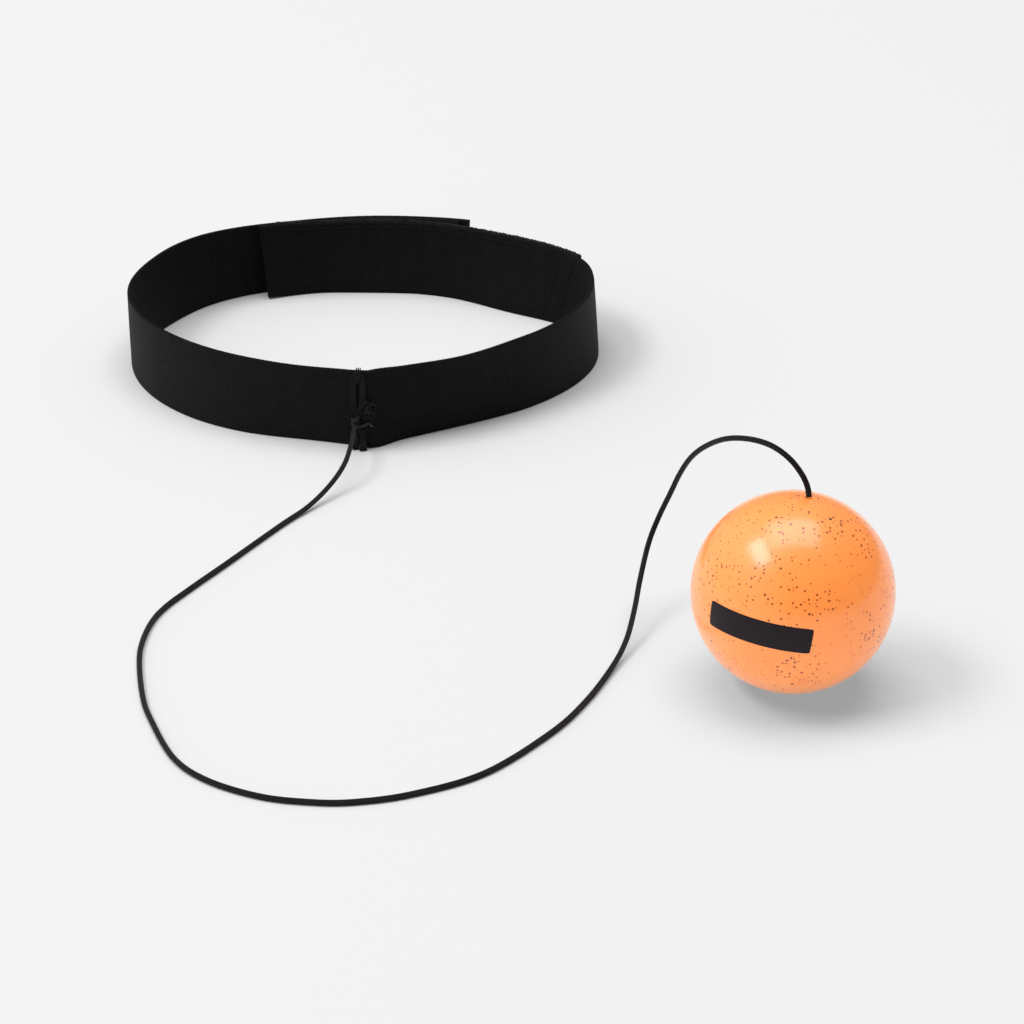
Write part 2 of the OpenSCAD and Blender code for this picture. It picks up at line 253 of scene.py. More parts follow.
def yarn_finish(name, dark, light, crossing, width, roughness=0.5):
    """Black yarn: filaments along it, and dips where the hidden yarns of the other lay pass under. Its colour
    is darker in the dips, as painted shade.
    """
    made, tree, shader = finish_of(name, dark, roughness, Specular_IOR_Level=0.2)
    along, across = lay_of(tree)
    over = sums(tree, "MULTIPLY", waves(tree, along, crossing), waves(tree, across, 2 * width))
    fibre = fibres(tree, along, across, 900, 14000, 2.0)
    height = sums(tree, "ADD", sums(tree, "MULTIPLY", over, 0.2), fibre)
    height = sums(tree, "ADD", height, sums(tree, "MULTIPLY", waves(tree, across, width), 0.35))
    relief(tree, shader, height, 0.00008, 0.8)
    # The colour follows the relief: painted shade in the dips between the yarns.
    share = add(tree, "MapRange", {0: height, 1: 0.1, 2: 1.1})
    shade_by(tree, shader, share, dark, light)
    return made


def cord_piece(name, line, radius=cord_radius, sides=36, across=(0, 0, 1)):
    """A stretch of the cord along a line, with a groove between its yarns."""
    shape = tube(line, radius, sides, 2 * math.pi / cord_lay, across=across, yarns=cord_yarns, groove=0.2)
    return piece(name, shape, run_of(line), cord_girth, crease=80)


cord_path = curve_through(route, 0.0005)
cord = cord_piece("elastic_cord", cord_path, sides=4 * cord_yarns)
cord_finish = yarn_finish("black_cord_yarn", (0.005, 0.004, 0.0045), (0.030, 0.025, 0.028),
                          0.0009, cord_girth / cord_yarns)
cord.data.materials.append(cord_finish)
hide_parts("cord")
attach(cord, "headband")

# ---- Elastic band ---------------------------------------------------------------------------
# A strip of black woven elastic, 30 mm wide, that goes once round the head and runs on inside
# itself as the flap. It stands on its lower edge, and its front keeps the crease of the packing.
band_width = 0.030
band_thick = 0.0014
outer_tip, peel_at, flap_tip = 59, 128, 484
weave_pitch = 0.0011
weave_row = 0.0015
weave_notch = 0.00009
slow_wave = 0.00012
face_rows = 16
along_step = 0.00037
loop_radius = 0.0844
oval_wave = 0.0072
three_sided_wave = 0.0021
crease_at = 275
crease_out = 0.0086
cut_slant = 0.8
cut_step = 0.0012
cut_turn = 0.0045
cut_rise = 0.0005


def smooth(x):
    """0 to 1 with level ends: c^2 (3 - 2c), with c held from 0 to 1."""
    c = np.clip(x, 0, 1)
    return c * c * (3 - 2 * c)


def hump(angle, middle, reach):
    """1 at the middle angle, falling smoothly to 0 at the reach on each side, all in degrees."""
    away = np.abs((np.asarray(angle) - middle + 180) % 360 - 180)
    return smooth(1 - away / reach)


def rim(angle):
    """Radius of the loop's outer face: an oval with a small three-sided wave and a crease at the front."""
    a = np.radians(angle)
    off = np.sqrt(((angle - crease_at + 540) % 360 - 180) ** 2 + 1) - 1
    return (loop_radius + oval_wave * np.cos(2 * (a - np.radians(4.9)))
            + three_sided_wave * np.cos(3 * (a - np.radians(19.6))) + crease_out * np.exp(-off / 12))


def outline(angle):
    """Point and outward direction of the loop's outer face at angles in degrees, about its own centre."""
    at = [rim(q)[..., None] * np.stack([np.cos(np.radians(q)), np.sin(np.radians(q))], axis=-1)
          for q in (angle - 0.5, angle, angle + 0.5)]
    along = unit(at[2] - at[0])
    return at[1], np.stack([along[..., 1], -along[..., 0]], axis=-1)


def lean(angle):
    """How far the strip's top edge stands outside its lower edge."""
    flap = smooth((angle - 365) / 20) * (0.0042 * hump(angle, 408, 78) + 0.0026 * hump(angle, 396, 27)
                                         + 0.0022 * hump(angle, 452, 36))
    return (0.0038 * hump(angle, 150, 35) - 0.0020 * hump(angle, 226, 40) + 0.0012 * hump(angle, 257, 16)
            - 0.0028 * hump(angle, 276.5, 7) + 0.0038 * hump(angle, 299, 25)
            - 0.0024 * hump(angle, 355, 35) + flap)


def tab_depth(angle):
    """Depth of the outer end's outer face: its tip springs away from the loop."""
    return -0.0012 * smooth((90 - angle) / 31)


def band_depth(angle):
    """Depth of the band's outer face: it swells beside the crease, and the flap steps in under the tapes."""
    flap = 0.0043 * smooth((angle - 365) / 55) + smooth((angle - 369) / 18) * (
        0.0062 * hump(angle, 402, 37) + 0.0010 * hump(angle, 396, 27) + 0.0011 * hump(angle, 452, 45))
    return (flap - 0.0013 * hump(angle, 297, 22) - 0.0006 * hump(angle, 320, 30)
            - 0.0004 * hump(angle, 190, 30) + 0.0019 * hump(angle, 160, 24))


def tab_lift(angle):
    """How much higher the outer end was closed than the flap, at its tip."""
    return 0.0012 * smooth((100 - angle) / 34) + 0.0010 * hump(angle, 92, 26)


round_rim = outline(np.arange(0, 360, 0.5))[0]
loop_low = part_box("elastic_band")[0]
loop_at = np.array([loop_low.x, loop_low.y]) - round_rim.min(axis=0)


def on_strip(angle, inside, height):
    """Points on the standing strip: outline - inside * outward, at a height, with the lean.
    Angle is a column or a grid, and inside and height are rows or grids. The flap's cut end is a little
    slanted, stands a little high, and its lower corner is turned inwards."""
    angle = angle[:, None] if angle.ndim == 1 else angle
    share = height / band_width
    end = smooth((angle - 462) / 22)
    at, out = outline(angle - cut_slant * end * (1 - share))
    push = -inside - cut_step * end + (lean(angle) + cut_turn * end) * (share - 0.5)
    flat = loop_at + at + push[..., None] * out
    up = np.broadcast_to(height + cut_rise * end, flat.shape[:2])
    return np.concatenate([flat, up[..., None]], axis=-1)


def on_tab(angle, inside, height):
    """The same on the outer end, which was closed a little higher. Its lower edge follows the flap inwards,
    by how much more the flap leans there: tuck = (lean of flap - lean of loop) (1 - height / width)."""
    tuck = (lean(angle + 360) - lean(angle))[:, None] * (1 - height / band_width)
    return on_strip(angle, inside + tuck, height + tab_lift(angle)[:, None])


def section(thick, low, high, faces, corner=5):
    """A strip's section, from its outer face over the top to its inner face and under: inside and height.
    Its two edges are half a rounded square."""
    q = np.linspace(0, np.pi, corner + 2)[1:-1]
    bend = np.sign(np.cos(q)) * np.abs(np.cos(q)) ** 0.6
    rise = 0.5 * thick * np.sin(q) ** 0.6
    up = np.linspace(low + 0.5 * thick, high - 0.5 * thick, faces)
    edge = 0.5 * thick * (1 - bend)
    inside = np.concatenate([np.zeros(faces), edge, np.full(faces, thick), edge[::-1]])
    height = np.concatenate([up, high - 0.5 * thick + rise, up[::-1], low + 0.5 * thick - rise])
    is_edge = np.concatenate([np.zeros(faces), np.ones(corner), np.zeros(faces), np.ones(corner)])
    return inside, height, is_edge


def strip_angles(start, end, spacing):
    """Angles from start to end whose points lie that far apart along the loop, and their distances."""
    fine = np.linspace(start, end, 3000)
    run = run_of(outline(fine)[0])
    at = np.linspace(0, run[-1], round(run[-1] / spacing) + 1)
    return np.interp(at, run, fine), at


def lumps(u, v, size, seed, count=14):
    """A soft random unevenness of about -1 to 1: many plane waves cos(2 pi (u cos t + v sin t) / length + p)
    added up, with random directions t, phases p and lengths near the size."""
    dice = np.random.default_rng(seed)
    t, p = dice.uniform(0, math.pi, count), dice.uniform(0, 2 * math.pi, count)
    length = size * dice.uniform(0.7, 1.5, count)
    along = u[..., None] * np.cos(t) + v[..., None] * np.sin(t)
    return np.cos(2 * math.pi * along / length + p).sum(axis=-1) / math.sqrt(count)


def strip_piece(name, start, end, depth, thick, low, high, spacing, faces, notch=0.0, uneven=0.0, lumpy=0.0,
                lump_size=0.0014, place=on_strip):
    """A stretch of strip from one angle to another. Its edges go in by the notch, once each pitch of the
    weave, its faces are uneven by slow waves along it, and a lumpy strip has soft lumps all over."""
    angle, run = strip_angles(start, end, spacing)
    inside, height, is_edge = section(thick, low, high, faces)
    ripple = uneven * (np.sin(run / 0.0071) + np.sin(run / 0.0113 + 1) * np.cos(run / 0.0231))
    waviness = ripple[:, None] * np.sin(math.pi * (height[None] - low) / (high - low))
    edge_side = is_edge * np.sign(height - height.mean())
    tooth = notch * (np.cos(2 * math.pi * run / weave_pitch)[:, None] - 1) * edge_side
    side = np.hypot(np.diff(inside, append=inside[0]), np.diff(height, append=height[0]))
    way = np.append(0, np.cumsum(side))
    if lumpy:
        spots_u, spots_v = np.meshgrid(run, way[:-1], indexing="ij")
        waviness = waviness - lumpy * lumps(spots_u, spots_v, lump_size, 3)
        tooth = tooth + 1.5 * lumpy * lumps(spots_u, spots_v, lump_size, 4) * edge_side
    points = place(angle, depth(angle)[:, None] + inside[None] + waviness, height[None] + tooth)
    return piece(name, points, run, way, crease=60)


def woven_finish(name, dark, light, pitch, row, depth=0.00038):
    """Woven elastic: floats in staggered rows, a slow change of tone, and fine fibres. Its colour is darker
    in the dips between the floats, as painted shade, and the slow change of tone is its own.
    """
    made, tree, shader = finish_of(name, dark, 0.62, Specular_IOR_Level=0.12)
    along, across = lay_of(tree)
    float_of = sums(tree, "MULTIPLY", waves(tree, along, pitch), waves(tree, across, row))
    fibre = fibres(tree, along, across, 2500, 9000, 3.0)
    place = add(tree, "CombineXYZ", [along, across])
    tone = noise_of(tree, place, 120.0, 3.0)
    height = sums(tree, "ADD", sums(tree, "MULTIPLY", float_of, 0.7), sums(tree, "MULTIPLY", fibre, 0.4))
    relief(tree, shader, height, depth)
    # The part of the colour that comes from the height is painted shade in the dips. The slow tone is the
    # elastic's own.
    share = sums(tree, "ADD", add(tree, "MapRange", {0: height, 1: -0.3, 2: 0.9}),
                 sums(tree, "MULTIPLY", sums(tree, "SUBTRACT", tone, 0.5), 0.5))
    shade_by(tree, shader, share, dark, light)
    rough = add(tree, "MapRange", {0: height, 1: -0.3, 2: 0.8, 3: 0.75, 4: 0.5})
    tree.links.new(rough, shader.inputs["Roughness"])
    return made


woven_black = woven_finish("black_woven_elastic", (0.0007, 0.0005, 0.0006), (0.0138, 0.0116, 0.0132),
                           weave_pitch, weave_row)
band = strip_piece("woven_band", peel_at, flap_tip, band_depth, band_thick, 0.0, band_width,
                   along_step, face_rows, notch=weave_notch, uneven=slow_wave)
band.data.materials.append(woven_black)
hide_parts("elastic_band")
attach(band, "headband")

# ---- Outer end of the band ------------------------------------------------------------------
# The same strip's other end, outside the flap. It carries the hook tape.
tab = strip_piece("outer_end_of_band", outer_tip, peel_at, tab_depth, band_thick, 0.0, band_width,
                  along_step, face_rows, notch=weave_notch, uneven=slow_wave, place=on_tab)
tab.data.materials.append(woven_black)
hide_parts("closure_tab")
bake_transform(tab)

# ---- Hook tape ------------------------------------------------------------------------------
# The stiff half of the closure: rows of small nylon hooks on a woven ground, sewn to the inner
# face of the outer end, with the hooks towards the flap.
tape_width = 0.029
tape_low = (band_width - tape_width) / 2
hook_from, hook_to = 62, 104
hook_ground = 0.00045
hook_pitch = 0.0015
hook_rise = 0.00052
hook_bow = 2.6


def in_hook_tape(angle):
    """Depth of the hook tape's ground, on the inner face of the outer end."""
    return tab_depth(angle) + band_thick


def hook_rows():
    """The middle line of each hook, on a grid of places: a stem that stands up by r sin(b f) and bows over by
    r (1 - cos(b f)) / b, where b is the bow. One hook bows up and the next one down."""
    angles = strip_angles(hook_from + 1.5, hook_to - 1.5, hook_pitch)[0]
    heights = np.arange(tape_low + 0.0016, tape_low + tape_width - 0.0015, hook_pitch)
    angle, height = (g.ravel() for g in np.meshgrid(angles, heights, indexing="ij"))
    turn = np.where(np.arange(len(angle)) % 2, 1.0, -1.0)[:, None]
    f = np.linspace(0, 1, 6)[None]
    inside = in_hook_tape(angle)[:, None] + hook_ground - 0.0001 + hook_rise * np.sin(hook_bow * f)
    shift = turn * hook_rise * (1 - np.cos(hook_bow * f)) / hook_bow
    return on_tab(angle, inside, height[:, None] + shift)


hook_tape = strip_piece("hook_tape_ground", hook_from, hook_to, in_hook_tape, hook_ground, tape_low,
                        tape_low + tape_width, 0.0008, 14, place=on_tab)
hooks = piece("nylon_hooks", tube(hook_rows(), 0.00011, 4, across=(0.6, 0.8, 0)))
hook_tape.data.materials.append(woven_finish("black_hook_tape_ground", (0.006, 0.0055, 0.007),
                                             (0.03, 0.028, 0.032), 0.0006, 0.0006, 0.0001))
nylon, tree, shader = finish_of("black_nylon_hooks", (0.012, 0.011, 0.014), 0.35, Specular_IOR_Level=0.4)
cloud = noise_of(tree, add(tree, "TexCoord", out=3), 900.0, 2.0)
shade_by(tree, shader, cloud, (0.008, 0.007, 0.009), (0.02, 0.018, 0.022))
relief(tree, shader, cloud, 0.00002, 0.6)
hooks.data.materials.append(nylon)
for part in (hook_tape, hooks):
    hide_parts("hook_tape")
    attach(part, "outer_end")

# ---- Loop tape ------------------------------------------------------------------------------
# The soft half of the closure: a brushed pile of fine nylon loops on a knitted ground, sewn to the
# outer face of the flap. Past the outer end's tip its fuzzy face and edge can be seen.
loop_from, loop_to = 380, 479
loop_thick = 0.0016
pile_count = 3600
fibre_radius = 0.00004


def on_flap(angle):
    """Depth of the loop tape's outer face, on the outer face of the flap."""
    return band_depth(angle) - loop_thick + 0.0003


def fine_loops():
    """The middle line of each small loop of the pile, an arch on a random spot: foot + w (2f - 1) along a
    random direction, raised by r sin(pi f). One in five stands on the tape's upper edge."""
    dice = np.random.default_rng(12)
    angle = dice.uniform(loop_from + 0.2, loop_to - 0.2, pile_count)
    height = dice.uniform(tape_low, tape_low + tape_width, pile_count)
    on_edge = np.arange(pile_count) % 5 == 0
    height[on_edge] = band_width + 0.0001
    turn = dice.uniform(0, 2 * math.pi, (pile_count, 1))
    wide, rise = dice.uniform(0.0003, 0.0006, (pile_count, 1)), dice.uniform(0.0002, 0.0005, (pile_count, 1))
    f = np.linspace(0, 1, 6)[None]
    deep = on_flap(angle)[:, None] + np.where(on_edge, dice.uniform(0.0001, 0.0013, pile_count), 0.0)[:, None]
    up = on_edge[:, None]
    inside = deep - np.where(up, 0.3, 1.0) * rise * np.sin(math.pi * f)
    raised = height[:, None] + np.where(up, 1.0, 0.0) * rise * np.sin(math.pi * f) \
        + np.where(up, 0.0, 1.0) * wide * (2 * f - 1) * np.sin(turn)
    foot = on_strip(angle, inside, raised)
    out = outline(angle)[1]
    along = np.stack([-out[:, 1], out[:, 0], np.zeros(pile_count)], axis=1)
    return foot + (wide * (2 * f - 1) * np.cos(turn))[..., None] * along[:, None]


loop_tape = strip_piece("loop_tape_pile", loop_from, loop_to, on_flap, loop_thick - 0.0002, tape_low + 0.0002,
                        band_width + 0.0003, 0.00045, 40, lumpy=0.00014)
fuzz = piece("loop_tape_fuzz", tube(fine_loops(), fibre_radius, 3, across=(0.48, 0.6, 0.64)))
pile, tree, shader = finish_of("black_brushed_loops", (0.006, 0.005, 0.006), 0.8, Specular_IOR_Level=0.15,
                               Sheen_Weight=0.12, Sheen_Roughness=0.4)
place = add(tree, "TexCoord", out=3)
tufts = add(tree, "TexVoronoi", {"Vector": place, "Scale": 1500.0})
matted = add(tree, "TexNoise", {"Vector": place, "Scale": 700.0, "Detail": 4.0, "Distortion": 1.5})
height = sums(tree, "ADD", sums(tree, "MULTIPLY", tufts, 0.4), matted)
relief(tree, shader, height, 0.0003, 1.0)
# The colour follows the bump: painted shade in the low places between the tufts.
share = add(tree, "MapRange", {0: height, 1: 0.3, 2: 1.1})
shade_by(tree, shader, share, (0.003, 0.0025, 0.003), (0.020, 0.018, 0.021))
for part in (loop_tape, fuzz):
    part.data.materials.append(pile)
    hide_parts("loop_tape")
    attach(part, "headband")

# ---- Stitching of the closure ---------------------------------------------------------------
# Rows of lock stitch in black thread. They hold the hook tape to the outer end and the loop tape
# to the flap, and two rows cross the strip at a slant where the loop tape starts.
thread_radius = 0.0002
stitch_pitch = 0.0022
row_edge = 0.0022


def stitches(name, begin, end, up):
    """Stitches of thread with radius r, each from begin to end, and both of its ends down in the cloth:
    point = begin + (end - begin) f + up r (2.6 sin(pi f) - 1.5)."""
    f = np.linspace(0, 1, 6)[None, :, None]
    rise = thread_radius * (2.6 * np.sin(math.pi * f) - 1.5)
    path = begin[:, None] + (end - begin)[:, None] * f + up[:, None] * rise
    narrow = thread_radius * (0.6 + 0.4 * np.sin(math.pi * f[..., 0]))
    return piece(name, tube(path, narrow, 6, across=up[:, None]))


def row_ends(angle, height, depth, inner, place):
    """Begin, end and outward direction of each stitch in a row, on the strip's inner or outer face. Each
    stitch leaves a tenth of the way between two needle holes free at both ends."""
    inside = (depth(angle) + inner * band_thick)[:, None]
    at = place(angle, inside, height)[:, 0]
    out = np.hstack([outline(angle)[1], np.zeros((len(angle), 1))]) * (1 - 2 * inner)
    step = at[1:] - at[:-1]
    return at[:-1] + 0.1 * step, at[1:] - 0.1 * step, out[:-1]


def row_along(start, end, height, depth, inner, place=on_strip):
    """The stitches of a row along the strip, at one height."""
    return row_ends(strip_angles(start, end, stitch_pitch)[0], np.full((1, 1), height), depth, inner, place)


def row_over(start, slant, depth, inner, place=on_strip):
    """The stitches of a row across the strip, whose foot lies the slant in degrees further along."""
    height = np.arange(0.0012, band_width - 0.001, stitch_pitch)
    return row_ends(start + slant * (1 - height / band_width), height[:, None], depth, inner, place)


def joined(rows):
    """Several rows of stitches as one."""
    return [np.concatenate(part) for part in zip(*rows)]


row_heights = (row_edge, band_width - row_edge)
hook_seam = stitches("hook_tape_stitches", *joined(
    [row_along(hook_from + 1, hook_to - 1, z, tab_depth, 0, on_tab) for z in row_heights]
    + [row_over(a, 0, tab_depth, 0, on_tab) for a in (hook_from + 1, hook_to - 1)]))
loop_seam = stitches("loop_tape_stitches", *joined(
    [row_along(loop_from + 7, loop_to - 3, z, band_depth, 1) for z in row_heights]))
cross_seam = stitches("slanted_cross_seams", *joined(
    [row_over(a, 3.4, band_depth, 1) for a in (loop_from + 0.6, loop_from + 5.2)]))
flap_hem = stitches("flap_hem_stitches", *row_over(flap_tip - 1.5, 0, band_depth, 1))
thread = yarn_finish("black_sewing_thread", (0.0035, 0.003, 0.0035), (0.022, 0.02, 0.024),
                     0.0005, 0.0002, 0.45)
for part, node, body in ((hook_seam, "hook_stitching", "outer_end"),
                         (loop_seam, "loop_stitching", "headband"),
                         (cross_seam, "cross_seams", "headband"),
                         (flap_hem, "flap_hem_stitching", "headband")):
    part.data.materials.append(thread)
    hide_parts(node)
    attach(part, body)

# ---- Front anchor ---------------------------------------------------------------------------
# A narrow woven tape folded over into an arch. It is sewn to the band at the top, its two legs
# cross where the cord is tied round them, and its cut ends stand on the ground.
anchor_low, anchor_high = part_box("anchor_tape")
front_x = (anchor_low.x + anchor_high.x) / 2
anchor_half = 0.00116
anchor_flat = 0.42
anchor_ridge = 0.42


def front_face(x, height):
    """How far back the band's outer face is, at a place left or right and a height near the crease."""
    angle = np.linspace(crease_at - 12, crease_at + 10, 200)
    ends = on_strip(angle, band_depth(angle)[:, None], np.array([[0.0, band_width]]))
    low, high = (np.interp(x, ends[:, i, 0], ends[:, i, 1]) for i in (0, 1))
    return low + (high - low) * height / band_width


def before_band(places, count):
    """A curve through places given in millimetres: right of the anchor's middle, out in front of the
    band's face, and up."""
    line = curve_through(np.asarray(places, float) * 0.001, count=count)
    x = front_x + line[:, 0]
    return np.stack([x, front_face(x, line[:, 2]) - line[:, 1], line[:, 2]], axis=1)


arch = before_band([
    (-1.45, 3.2, 0.35), (-1.45, 2.7, 3), (-1.45, 2.0, 7), (-1.3, 1.75, 10), (-0.4, 1.75, 13),
    (0.8, 1.3, 15.6), (1.4, 0.75, 18.5), (1.5, 0.62, 22), (1.5, 0.62, 25), (1.25, 0.65, 27.2),
    (0.55, 0.7, 28.5), (-0.25, 0.7, 28.8), (-1.05, 0.7, 28.4), (-1.7, 0.65, 27.1), (-1.9, 0.62, 25),
    (-1.9, 0.62, 21), (-1.85, 0.62, 17.5), (-1.3, 0.6, 14.5), (0.0, 0.6, 11.5), (1.1, 0.75, 8),
    (1.35, 1.4, 4.5), (1.4, 2.6, 1.5), (1.4, 2.9, 0.35)], 190)
leg_width = anchor_half * (1 + 0.2 * smooth(np.abs(np.linspace(-1, 1, 190)) * 4 - 3))
folded = tube(arch, leg_width, 28, flat=anchor_flat, across=(0, 1, 0), ridge=anchor_ridge)
anchor = piece("folded_anchor_tape", folded, run_of(arch), 4 * anchor_half, crease=70)


def loose_fibres(root, down, spread, length, count, seed):
    """Short fibres that stand out of a cut end: each one bends from the way down towards its own side,
    point = root + way * length * f + side * length * f^2 / 3. None of them goes below the ground."""
    above_ground = 0.00012
    dice = np.random.default_rng(seed)
    side = dice.normal(size=(count, 1, 3))
    way = unit(np.asarray(down) + 0.25 * dice.normal(size=(count, 1, 3)))
    start = np.asarray(root) + np.asarray(spread) * dice.uniform(-1, 1, (count, 1, 3))
    f = np.linspace(0, 1, 5)[None, :, None]
    reach = length * dice.uniform(0.5, 1, (count, 1, 1))
    made = start + way * reach * f + side * reach * f ** 2 / 3
    made[..., 2] = np.maximum(made[..., 2], above_ground)
    return made


cut_fibres = np.concatenate([
    loose_fibres(end + (0, 0, 0.0006), (0, -0.4, -1), (0.001, 0.0004, 0.0002), 0.0012, 46, seed)
    for end, seed in ((arch[0], 5), (arch[-1], 6))])
frays = piece("anchor_tape_frays", tube(cut_fibres, 0.00005, 3, across=(0.6, 0.64, 0.48)))
braid = woven_finish("black_anchor_braid", (0.003, 0.0026, 0.0032), (0.022, 0.0195, 0.024),
                     0.0009, 0.00058, 0.00016)
for part in (anchor, frays):
    part.data.materials.append(braid)
    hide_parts("anchor_tape")
    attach(part, "headband")

# ---- Bartack of the anchor ------------------------------------------------------------------
# Close stitches of black thread that cross over the top of the arch and hold it to the band. Three
# of them go on over the band's upper edge.
over_top = [before_band([
    (x - 0.5, 1.3, 26.4), (x - 0.2, 1.38, 28.2), (x, 1.0, 29.8), (x + 0.1, 0.1, 30.55),
    (x + 0.1, -1.0, 30.6), (x + 0.1, -1.75, 30.0), (x + 0.1, -1.72, 28.4), (x, -1.3, 27.6)], 22)
    for x in (-0.75, -0.1, 0.6)]
crossings = [before_band([(a, 0.5, z - 0.8 * s), (a + 0.4 * (b - a), 1.32, z - 0.3 * s),
                          (a + 0.6 * (b - a), 1.32, z + 0.3 * s), (b, 0.5, z + 0.8 * s)], 22)
             for a, b, z, s in ((-1.9, 1.5, 28.2, 1), (-1.9, 1.5, 28.1, -1), (-1.7, 1.3, 27.0, 1),
                                (-1.7, 1.3, 26.9, -1), (-1.2, 0.9, 26.0, 1), (-1.2, 0.9, 25.9, -1))]
tack_lines = np.array(over_top + crossings)
tack = piece("anchor_bartack_stitches", tube(tack_lines, thread_radius, 8, across=(0.6, 0, 0.8)))
tack.data.materials.append(thread)
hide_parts("anchor_bartack")
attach(tack, "headband")

# ---- Binding thread -------------------------------------------------------------------------
# Thick black thread wound a few times through the anchor and knotted beside the cord's knot. It
# lies in a loose bunch, with one cut end whose pale colour is a painted glint.
strands = [before_band(places, 40) for places in (
    [(-0.4, 1.9, 8.6), (0.4, 2.3, 7.7), (1.5, 1.9, 7.5), (2.6, 1.2, 7.8), (3.0, 0.6, 8.6)],
    [(1.9, 0.6, 12.7), (3.0, 1.6, 12.2), (4.3, 1.7, 11.7), (5.6, 1.2, 11.7), (6.1, 0.5, 12.3)],
    [(1.3, 0.6, 9.6), (1.2, 1.5, 11.4), (1.9, 1.9, 13.0), (2.7, 1.5, 11.8),
     (2.6, 0.9, 9.9), (1.9, 0.5, 9.0)],
    [(-1.5, 2.3, 6.4), (-1.2, 2.9, 7.9), (-0.5, 2.9, 9.2), (0.2, 2.5, 7.9), (0.1, 2.0, 6.4)],
    [(0.6, 1.0, 15.4), (1.4, 1.7, 17.2), (2.6, 1.8, 18.6), (3.7, 1.4, 18.2),
     (3.2, 1.0, 16.8), (1.8, 0.7, 15.6)],
    [(2.4, 0.7, 16.2), (3.6, 1.7, 17.0), (4.9, 1.6, 17.9), (5.9, 1.0, 16.9),
     (5.6, 0.8, 15.6), (4.2, 0.7, 14.9)],
    [(0.9, 1.2, 13.0), (2.2, 2.3, 14.6), (3.7, 2.4, 15.2), (5.2, 1.9, 14.5),
     (5.9, 1.1, 13.4), (4.8, 0.6, 12.7)],
    [(2.9, 0.5, 18.2), (3.1, 1.9, 17.0), (3.4, 2.5, 15.3), (3.6, 2.4, 13.7),
     (3.4, 1.6, 12.3), (3.1, 0.6, 11.4)],
    [(4.5, 0.5, 17.8), (4.3, 1.9, 16.4), (4.5, 2.1, 14.8), (4.8, 1.6, 13.3), (4.7, 0.5, 11.8)],
    [(1.0, 0.6, 14.4), (2.2, 1.6, 14.0), (3.2, 2.2, 13.2), (4.4, 2.0, 12.8),
     (5.6, 1.4, 13.6), (6.2, 0.6, 14.8)],
    [(2.0, 0.5, 16.9), (2.5, 1.7, 15.8), (2.3, 2.3, 14.2), (1.9, 2.2, 12.6),
     (1.9, 1.3, 11.2), (2.2, 0.6, 10.2)],
    [(-1.6, 1.6, 12.0), (-0.8, 2.7, 12.9), (0.4, 2.5, 13.0), (1.3, 1.3, 12.6), (1.6, 0.6, 12.0)])]
twine_radius = 0.00034
bunch = tube(np.array(strands), twine_radius, 12, twist=2200, across=(0.6, 0, 0.8), yarns=3, groove=0.22)
binding = piece("binding_thread_bunch", bunch, run_of(strands[0]), 0.0018, crease=70)
twine = yarn_finish("black_binding_thread", (0.003, 0.0026, 0.0038), (0.016, 0.014, 0.0195), 0.0007, 0.0003)
binding.data.materials.append(twine)
end_line = before_band([(4.0, 0.9, 9.9), (4.4, 1.2, 9.4), (4.8, 1.2, 9.0)], 10)
end_radius = 0.00024 * np.linspace(1, 0.75, 10)
cut_end = piece("thread_end_with_painted_glint", tube(end_line, end_radius, 10, across=(0.6, 0, 0.8)))
# The pale colour of this black thread's cut end is a painted glint.
pale, tree, shader = finish_of("painted_glint_on_thread_end", (0.10, 0.09, 0.09), 0.3)
cloud = noise_of(tree, add(tree, "TexCoord", out=3), 1800.0, 2.0)
shade_by(tree, shader, cloud, (0.03, 0.027, 0.03), (0.24, 0.22, 0.2))
cut_end.data.materials.append(pale)
for part in (binding, cut_end):
    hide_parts("binding_thread")
    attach(part, "headband")

# ---- Cord knot ------------------------------------------------------------------------------
# The cord comes in from the front, goes twice round the anchor's crossed legs and is pulled tight. The
# short cut end beyond the knot lies to the right, with a few frayed yarns.
knot_turn = np.radians(np.linspace(60, 760, 15))
knot_rise = np.linspace(12.4, 9.8, 15)
start_x, start_y, start_z = route[0]
cord_start = np.array([start_x - front_x, front_face(start_x, start_z) - start_y, start_z]) * 1000
knot_places = [
    tuple(cord_start + (0, 0.3, 0)), (-1.3, 5.9, 10.25), (-1.75, 4.8, 10.1), (-2.1, 4.0, 10.5),
    (-1.5, 3.9, 11.4), (-0.4, 3.3, 12.3)]
knot_places += [(-1.3 + 1.15 * math.sin(q), 2.3 - 1.35 * math.cos(q), z)
                for q, z in zip(knot_turn, knot_rise)]
knot_line = before_band(knot_places, 150)
knot_radius = cord_radius - 0.00022 * smooth(np.linspace(0, 7, 150))
knot = cord_piece("cord_knot_turns", knot_line, knot_radius, across=(0.1, 0.3, 0.95))
tail_line = before_band([
    (-0.6, 3.5, 9.9), (0.4, 3.4, 9.6), (1.6, 2.8, 9.7), (2.9, 2.1, 10.2), (3.9, 1.7, 10.6)], 40)
knot_tail = cord_piece("cord_knot_tail_end", tail_line, 0.0006, across=(0, 0.3, 0.95))
yarn_ends = loose_fibres(tail_line[-1] - (0.0002, 0, 0), (1, 0.3, 0.1), (0.0003, 0.0005, 0.0005),
                         0.0009, 34, 8)
tail_frays = piece("knot_tail_frays", tube(yarn_ends, fibre_radius, 3, across=(0.2, 0.64, 0.74)))
for part, node in ((knot, "cord_knot"), (knot_tail, "cord_knot_tail"), (tail_frays, "cord_knot_tail")):
    part.data.materials.append(cord_finish)
    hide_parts(node)
    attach(part, "headband")

